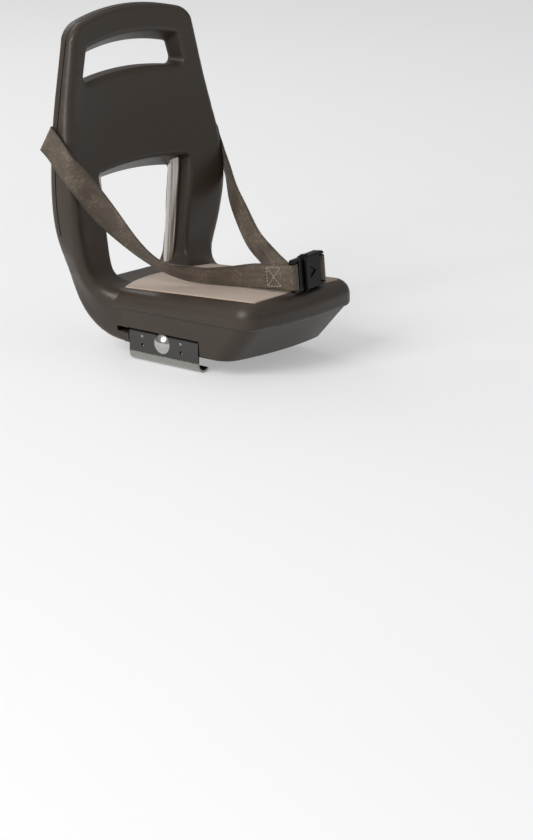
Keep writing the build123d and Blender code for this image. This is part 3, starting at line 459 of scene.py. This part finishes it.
def buildPad():
    line = padOutline()
    way = np.roll(line, -1, 0) - np.roll(line, 1, 0)
    inward = unit(np.stack([-way[:, 1], way[:, 0]], 1))
    middle = np.array([0.0, (pad["front"] + pad["rear"] + pad["rearBow"] * pad["bowShare"]) / 2])
    edge = [(pad["bevel"], pad["under"]), (0.0, pad["under"] + pad["bevel"])] + pad["edge"]
    rings = [line + inward * inset for inset, lift in edge]
    lifts = [lift for inset, lift in edge]
    inner, top = rings[-1], lifts[-1]
    for part in np.linspace(1, pad["centre"], pad["crownSteps"])[1:]:
        rings.append(middle + (inner - middle) * part)
        lifts.append(top + pad["crown"] * (1 - part ** 4))     # rises as one minus the fourth power of the ring
    flat, lift = np.concatenate(rings), np.repeat(lifts, len(line))
    tilt = math.radians(pad["seatTilt"])
    points = np.stack([flat[:, 0], flat[:, 1] * math.cos(tilt) + lift * math.sin(tilt),
                       pad["seatHeight"] - flat[:, 1] * math.sin(tilt) + lift * math.cos(tilt)], 1)
    quads = gridQuads(len(rings), len(line), False, True)
    piece = makePiece("seatPad", points, quads, endCaps(len(points), len(line)))
    piece.data.materials.append(finishes["pad"])
    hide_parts("seat_pad")
    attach(piece, "seat")


buildPad()
print("stage: pad")

# Frame tube: straight runs and arcs, carried by one closed skin of outer wall and bore; "aside" starts each ring
tube = {"radius": 6.0, "wall": 1.2, "bends": (30.0, 250.0, 30.0), "around": 64, "arcSteps": 33,
        "aside": (1.0, 1.0, 1.0),
        "half": [(47.0, -60.0, 23.7), (47.0, 101.5, 23.7), (58.5, 101.5, 149.0), (62.0, 108.5, 212.0)]}


# Line through the points with every corner rounded: each arc swings its arm from one run to the next
def bentLine(points, radii):
    points = np.array(points, float)
    line = [points[:1]]
    part = np.linspace(0, 1, tube["arcSteps"])[:, None]
    for before, corner, after, radius in zip(points[:-2], points[1:-1], points[2:], radii):
        backWay = (before - corner) / np.linalg.norm(before - corner)
        onWay = (after - corner) / np.linalg.norm(after - corner)
        half = math.acos(backWay @ onWay) / 2
        middle = (backWay + onWay) / np.linalg.norm(backWay + onWay)
        centre = corner + middle * radius / math.sin(half)
        first = corner + backWay * radius / math.tan(half) - centre
        last = corner + onWay * radius / math.tan(half) - centre
        swing = math.pi - 2 * half
        line.append(centre + (np.sin((1 - part) * swing) * first + np.sin(part * swing) * last) / math.sin(swing))
    return np.concatenate(line + [points[-1:]])


def buildTube():
    half = np.array(tube["half"])
    line = bentLine(np.concatenate([half, half[::-1] * (-1, 1, 1)]), tube["bends"] + tube["bends"][::-1])
    way = unit(np.gradient(line, axis=0))
    beside = unit(np.cross(way, tube["aside"]))
    spin = np.linspace(0, 2 * np.pi, tube["around"], endpoint=False)[None, :, None]
    ring = np.cos(spin) * beside[:, None] + np.sin(spin) * np.cross(way, beside)[:, None]
    outer = line[:, None] + tube["radius"] * ring
    bore = (line[:, None] + (tube["radius"] - tube["wall"]) * ring)[::-1]
    points = np.concatenate([outer, bore])
    piece = makePiece("frameTube", points.reshape(-1, 3), gridQuads(len(points), tube["around"], True, True))
    piece.data.materials.append(finishes["tube"])
    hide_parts("frame_tube")
    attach(piece, "seat")


buildTube()
print("stage: tube")

# Buckle frame: origin, turn about the upright and lean of its front, as in the solids
buckle = {"origin": (-4.0, -113.7, 80.2), "turn": 9.0, "lean": 5.0, "drop": 0.6, "tongueBar": -12.0,
          "socketBar": 39.0}
turn, lean = math.radians(buckle["turn"]), math.radians(buckle["lean"])
alongBuckle = np.array([math.cos(turn), math.sin(turn), 0.0])
frontBuckle = np.array([math.sin(turn) * math.cos(lean), -math.cos(turn) * math.cos(lean), math.sin(lean)])
upBuckle = np.cross(frontBuckle, alongBuckle)


def atBuckle(along, up, behind):
    along, up, behind = (np.asarray(v, float)[..., None] for v in (along, up, behind))
    return np.array(buckle["origin"]) + along * alongBuckle + up * upBuckle - behind * frontBuckle


# Belts: 25 mm webbing, a run of stations (middle point, direction of the width) from the anchor to the buckle;
# "across" is half the section's stations as shares of the flat, and the selvedge dips by a share of the thickness
belt = {"width": 25.0, "thick": 1.6, "lift": 1.5, "anchorX": 76.0, "anchorZ": 200.5, "sewn": 30.0, "count": 520,
        "wrapFall": 0.45, "across": (1.0, 0.94, 0.90, 0.87, 0.84, 0.75, 0.5, 0.25, 0.0),
        "dip": 0.16, "dipAt": 0.87, "dipWidth": 0.025, "bowSteps": 7}
hangRight = {"dip": 0.0, "twist": 0.0}
hangLeft = {"dip": 0.296, "twist": 40.6}

# Sewn end: free length behind the bar before it hangs, and the loop's stations as offsets from the middle line
# and distances behind the bar
tail = {"free": 12.0, "turnReach": 18.0, "turnMost": 1.4, "lead": 8.0, "gap": 0.85, "meet": 22.0, "part": 15.0,
        "spread": 0.15, "mouth": (2.5, 8.2), "radius": 4.5, "arc": (20.0, -200.0), "arcSteps": 12}

# Runs over the lap, with heights above the seat
rightRun = [
    ((-98.0, 71.0, 90.8), (0.63, -0.48, 0.61)), ((-86.0, 64.8, 73.2), (0.35, -0.66, 0.60)),
    ((-75.0, 51.8, 53.4), (-0.10, -0.74, 0.62)), ((-64.2, 36.3, 34.8), (-0.42, -0.70, 0.55)),
    ((-50.6, 16.2, 19.5), (-0.55, -0.62, 0.55)), ((-41.0, -3.0, 15.4), (-0.50, -0.42, 0.75)),
    ((-33.4, -22.0, 14.4), (-0.50, -0.36, 0.76)), ((-27.2, -41.0, 15.7), (-0.45, -0.22, 0.85)),
    ((-23.1, -60.0, 18.0), (-0.30, -0.05, 0.95))]
leftRun = [
    ((105.2, 69.4, 81.8), (-0.29, -0.38, 0.88)), ((96.5, 56.5, 66.8), (-0.15, -0.38, 0.80)),
    ((85.2, 37.0, 51.5), (0.0, -0.36, 0.85)), ((73.6, 16.1, 37.2), (0.08, -0.34, 0.90)),
    ((61.8, -4.9, 27.8), (0.07, -0.24, 0.97)), ((54.1, -23.9, 20.2), (0.13, -0.10, 0.99)),
    ((43.3, -40.1, 16.1), (0.47, -0.03, 0.88)), ((32.5, -55.3, 14.5), (0.73, 0.09, 0.68))]


def overSeat(run):
    return [((x, y, pad["seatHeight"] + rise), width) for (x, y, rise), width in run]


# Back of the cover near the anchors: it leans forward with height and bows towards the sides
rear = {"y": 114.03, "lean": 0.064, "bow": 5.0, "halfWidth": 109.9}


def rearFace(x, z):
    return rear["y"] - rear["lean"] * (z - belt["anchorZ"]) + rear["bow"] * (1 - (x / rear["halfWidth"]) ** 2)


# Stations on the back of the cover, from x offsets at the anchor, falling outwards
def anchored(offsets, fall):
    rows = []
    for offset in offsets:
        x, z = belt["anchorX"] + offset, belt["anchorZ"] - offset * fall
        rows.append(((x, rearFace(x, z) + belt["lift"], z), (fall, 0.06, 1)))
    return rows


# Near belt, mirrored to its side: folded loosely round the edge and down over the jamb
def foldedStart():
    rows = anchored((-12, 0, 10), 0.0)
    rows += [
        ((95.0, 117.1, 198.5), (-0.15, 0.08, 1)), ((104.5, 117.6, 198.3), (-0.42, 0.02, 0.90)),
        ((110.8, 116.8, 199.6), (-0.50, -0.12, 0.85)), ((115.6, 112.4, 200.3), (-0.28, -0.31, 0.90)),
        ((116.9, 105.0, 196.0), (-0.18, -0.46, 0.86)), ((116.3, 96.5, 187.5), (-0.12, -0.62, 0.75)),
        ((115.8, 87.8, 177.8), (-0.20, -0.66, 0.70)), ((109.8, 79.2, 166.0), (-0.60, -0.45, 0.66))]
    return [((-p[0], p[1], p[2]), (-w[0], w[1], w[2])) for p, w in rows]


# Far belt: sloping down behind the backrest and flat round its edge
def wrappedStart():
    return anchored((-12, 0, 10, 20), belt["wrapFall"]) + [
        ((105.2, 117.2, 187.6), (0.36, 0.12, 0.92)), ((112.6, 114.6, 182.8), (0.26, 0.12, 0.96)),
        ((117.2, 109.4, 176.4), (0.10, 0.01, 0.99)), ((119.2, 102.6, 168.6), (-0.08, -0.12, 0.99)),
        ((118.2, 93.4, 159.7), (-0.23, -0.22, 0.95)), ((113.6, 82.4, 149.4), (-0.32, -0.29, 0.90))]


# Point in a sewn tail, beside and above its middle line; the tail drops and twists evenly as it leaves the bar
def atTail(bar, beside, above, behind, hang):
    past = np.asarray(behind, float) - tail["free"]
    turned = math.radians(hang["twist"]) * np.clip(past / tail["turnReach"], 0, tail["turnMost"])
    along = bar + beside * np.cos(turned) + above * np.sin(turned)
    drop = buckle["drop"] + hang["dip"] * np.maximum(past, 0)
    return atBuckle(along, above * np.cos(turned) - beside * np.sin(turned) - drop, behind)


# Into the buckle: up to the bar, round it, and back as the sewn tail on the outer side
def beltLoop(bar, outer, hang):
    r, gap, sewn = tail["radius"], tail["gap"], belt["sewn"]
    wide, (mouth, mouthAt) = gap + tail["spread"], tail["mouth"]
    angle = np.radians(np.linspace(*tail["arc"], tail["arcSteps"]))
    way = [(gap, sewn + tail["lead"]), (gap, sewn), (gap, tail["meet"]), (wide, tail["part"]), (mouth, mouthAt)]
    away = [(-mouth, mouthAt), (-wide, tail["part"]), (-gap, tail["meet"]), (-gap, sewn)]
    plan = np.concatenate([way, np.stack([r * np.cos(angle), r * np.sin(angle)], 1), away])
    middles = atTail(bar, -outer * plan[:, 0], 0.0, plan[:, 1], hang)
    widths = atTail(bar, -outer * plan[:, 0], 1.0, plan[:, 1], hang) - middles
    return [(tuple(p), tuple(w)) for p, w in zip(middles, widths)]


# Width directions brought square to the way the belt runs
def squared(middles, widths):
    way = unit(np.gradient(middles, axis=0))
    return unit(widths - way * np.sum(widths * way, axis=1)[:, None]), way


# Ribbon: a spline of middles and width directions carries a flat section with round selvedges, and its map is
# the place across and the length along, in millimetres
def buildBelt(name, stations):
    middles = np.array([p for p, w in stations])
    widths, way = squared(middles, np.array([w for p, w in stations], float))
    rows = splineRows(np.hstack([middles, widths]), belt["count"])
    centre = rows[:, :3]
    across, way = squared(centre, rows[:, 3:])
    normal = np.cross(across, way)
    thick = belt["thick"] / 2
    flat = belt["width"] / 2 - thick
    t = np.array(belt["across"])
    t = np.concatenate([t, -t[-2::-1]])
    face = thick * (1 - belt["dip"] * np.exp(-((np.abs(t) - belt["dipAt"]) / belt["dipWidth"]) ** 2))
    bow = np.linspace(0, np.pi, belt["bowSteps"])[1:-1]
    side = np.concatenate([t * flat, -flat - thick * np.sin(bow), -t * flat, flat + thick * np.sin(bow)])
    up = np.concatenate([face, thick * np.cos(bow), -face, -thick * np.cos(bow)])
    points = centre[:, None] + across[:, None] * side[None, :, None] + normal[:, None] * up[None, :, None]
    length = np.concatenate([[0], np.cumsum(np.linalg.norm(np.diff(centre, axis=0), axis=1))])
    uv = np.stack(np.broadcast_arrays(side[None, :], length[:, None]), -1).reshape(-1, 2)
    quads = gridQuads(len(centre), len(side), False, True)
    piece = makePiece(name, points.reshape(-1, 3), quads, endCaps(len(uv), len(side)), uv)
    piece.data.materials.append(webbing)
    return piece


# Sewn box with a cross: each stitch a short capsule lying half sunk in the webbing
stitch = {"length": 2.5, "pitch": 3.2, "radius": 0.6, "box": (12.5, 28.0, -9.2, 9.2), "proud": 0.05, "tip": 0.02,
          "lengthSteps": 7, "around": 8}


def buildStitches(name, bar, hang):
    b0, b1, u0, u1 = stitch["box"]
    lines = [((b0, u0), (b1, u0)), ((b1, u0), (b1, u1)), ((b1, u1), (b0, u1)), ((b0, u1), (b0, u0)),
             ((b0, u0), (b1, u1)), ((b0, u1), (b1, u0))]
    spots, ways = [], []
    for start, end in np.array(lines):
        reach = np.linalg.norm(end - start)
        count = max(int(round(reach / stitch["pitch"])), 2)
        part = (np.arange(count) + 0.5) / count
        spots.append(start + part[:, None] * (end - start))
        ways.append(np.broadcast_to((end - start) / reach, (count, 2)))
    spots, ways = np.concatenate(spots), np.concatenate(ways)
    out = tail["gap"] + belt["thick"] / 2 + stitch["proud"]
    along = np.linspace(-1, 1, stitch["lengthSteps"])
    spin = np.linspace(0, 2 * np.pi, stitch["around"], endpoint=False)[:, None]
    fat = stitch["radius"] * np.sqrt(np.clip(1 - along ** 4, stitch["tip"], 1))
    points = []
    for side in (-1, 1):
        centre = atTail(bar, side * out, spots[:, 1], spots[:, 0], hang)
        lie = unit(atTail(bar, side * out, (spots + ways)[:, 1], (spots + ways)[:, 0], hang) - centre)
        outward = atTail(bar, side * (out + 1), spots[:, 1], spots[:, 0], hang) - centre
        ring = np.cos(spin) * np.cross(lie, outward)[:, None, None] + np.sin(spin) * outward[:, None, None]
        body = centre[:, None, None] + lie[:, None, None] * (stitch["length"] / 2 * along)[None, :, None, None]
        points.append((body + ring * fat[None, :, None, None]).reshape(-1, 3))
    points = np.concatenate(points)
    block = len(along) * len(spin)
    first = np.arange(0, len(points), block)
    quads = (first[:, None, None] + gridQuads(len(along), len(spin), False, True)).reshape(-1, 4)
    caps = [at + cap for at in first for cap in endCaps(block, len(spin))]
    piece = makePiece(name, points, quads, caps)
    piece.data.materials.append(thread)
    return piece


rightStations = foldedStart() + overSeat(rightRun) + beltLoop(buckle["tongueBar"], -1, hangRight)
webRight = buildBelt("webRight", rightStations)
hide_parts("belt_right")
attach(webRight, "seat")
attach(buildStitches("stitchRight", buckle["tongueBar"], hangRight), "seat")

leftStations = wrappedStart() + overSeat(leftRun) + beltLoop(buckle["socketBar"], 1, hangLeft)
webLeft = buildBelt("webLeft", leftStations)
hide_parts("belt_left")
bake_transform(webLeft)
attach(buildStitches("stitchLeft", buckle["socketBar"], hangLeft), "socket")
print("stage: belts")

# Studio: pale floor under the lowest point, soft lamps, even sky; lamps are place, size and power
studio = {"floor": 0.56, "cloud": 0.01, "bounce": 0.45, "lift": 0.36, "reach": 14.0, "below": 0.0002,
          "skyLow": 0.22, "skyHigh": 0.48, "skyTop": 0.9, "skySeen": 1.0, "aim": (0.0, 0.0, 0.14),
          "keyLamp": ((-3.0, 0.0, 2.0), (1.9, 1.9), 98.0), "fillLamp": ((1.2, -2.0, 1.0), (1.2, 1.0), 1.5),
          "backLamp": ((0.4, 1.9, 1.5), (1.4, 0.9), 11.0)}


def grey(level):
    return (level, level, level, 1.0)


# Floor: seen by the camera and in reflections paler than it lights, with its shadow kept
def paintFloor():
    material, tree, shader = newMaterial("paleFloor")
    place = addNode(tree, "ShaderNodeTexCoord")
    cloud = addNode(tree, "ShaderNodeTexNoise", {"Scale": 3.0, "Detail": 2.0})
    tree.links.new(place.outputs["Object"], cloud.inputs["Vector"])
    pale = mixColours(
        tree, grey(studio["floor"] - studio["cloud"]), grey(studio["floor"] + studio["cloud"]), cloud.outputs["Fac"])
    path = addNode(tree, "ShaderNodeLightPath")
    seen = mathNode(tree, "MAXIMUM", path.outputs["Is Camera Ray"], mathNode(
        tree, "MAXIMUM", path.outputs["Is Glossy Ray"], path.outputs["Is Transmission Ray"]))
    shown = addNode(tree, "ShaderNodeMix", data_type="RGBA")
    shown.inputs["A"].default_value = grey(studio["bounce"])
    tree.links.new(pale, shown.inputs["B"])
    tree.links.new(seen, shown.inputs["Factor"])
    tree.links.new(shown.outputs["Result"], shader.inputs["Base Color"])
    shader.inputs["Roughness"].default_value = 0.9
    shader.inputs["Specular IOR Level"].default_value = 0.1
    paler = addNode(tree, "ShaderNodeEmission")
    tree.links.new(mathNode(tree, "MULTIPLY", seen, studio["lift"]), paler.inputs["Strength"])
    both = addNode(tree, "ShaderNodeAddShader")
    tree.links.new(shader.outputs["BSDF"], both.inputs[0])
    tree.links.new(paler.outputs["Emission"], both.inputs[1])
    tree.links.new(both.outputs["Shader"], tree.nodes["Material Output"].inputs["Surface"])
    return material


def buildFloor():
    low, reach = cadBox[0][2] - studio["below"], studio["reach"]
    corners = [(-reach, -reach, low), (reach, -reach, low), (reach, reach, low), (-reach, reach, low)]
    mesh = bpy.data.meshes.new("floor")
    mesh.from_pydata(corners, [], [(0, 1, 2, 3)])
    mesh.materials.append(paintFloor())
    floor = bpy.data.objects.new("floor", mesh)
    bpy.context.scene.collection.objects.link(floor)


def addLamp(name):
    place, size, power = studio[name]
    lamp = bpy.data.lights.new(name, "AREA")
    lamp.shape = "RECTANGLE"
    lamp.size, lamp.size_y = size
    lamp.energy = power
    holder = bpy.data.objects.new(name, lamp)
    holder.location = place
    holder.rotation_euler = (Vector(studio["aim"]) - Vector(place)).to_track_quat("-Z", "Y").to_euler()
    bpy.context.scene.collection.objects.link(holder)


# Sky: brighter overhead than at the horizon, plain white where the camera sees it
def buildSky():
    world = bpy.data.worlds.new("studio")
    bpy.context.scene.world = world
    world.use_nodes = True
    tree = world.node_tree
    background = tree.nodes["Background"]
    background.inputs["Color"].default_value = grey(1.0)
    place = addNode(tree, "ShaderNodeTexCoord")
    parts = addNode(tree, "ShaderNodeSeparateXYZ")
    tree.links.new(place.outputs["Generated"], parts.inputs["Vector"])
    ramp = addNode(tree, "ShaderNodeMapRange", {
        "From Min": 0.0, "From Max": studio["skyTop"], "To Min": studio["skyLow"], "To Max": studio["skyHigh"]})
    tree.links.new(parts.outputs["Z"], ramp.inputs["Value"])
    path = addNode(tree, "ShaderNodeLightPath")
    strength = addNode(tree, "ShaderNodeMix", data_type="FLOAT")
    tree.links.new(ramp.outputs["Result"], strength.inputs["A"])
    strength.inputs["B"].default_value = studio["skySeen"]
    tree.links.new(path.outputs["Is Camera Ray"], strength.inputs["Factor"])
    tree.links.new(strength.outputs["Result"], background.inputs["Strength"])


buildFloor()
buildSky()
for lampName in ("keyLamp", "fillLamp", "backLamp"):
    addLamp(lampName)
bpy.context.scene.view_settings.view_transform = "Standard"

# Camera at the photograph's angle
view = {"place": (-2.4529, -2.1275, 0.8257), "heading": 50.0, "down": 15.7, "lens": 144.86, "sensor": 36.0,
        "far": 100.0}


def placeCamera():
    heading, down = math.radians(view["heading"]), math.radians(view["down"])
    ahead = Vector((math.cos(down) * math.sin(heading), math.cos(down) * math.cos(heading), -math.sin(down)))
    right = ahead.cross(Vector((0, 0, 1))).normalized()
    lens = bpy.data.cameras.new("photoCamera")
    lens.lens, lens.sensor_width, lens.sensor_fit = view["lens"], view["sensor"], "AUTO"
    lens.clip_end = view["far"]
    camera = bpy.data.objects.new("photoCamera", lens)
    camera.matrix_world = Matrix((right, right.cross(ahead), -ahead)).transposed().to_4x4()
    camera.location = view["place"]
    bpy.context.scene.collection.objects.link(camera)
    bpy.context.scene.camera = camera


placeCamera()
print("stage: studio and camera")
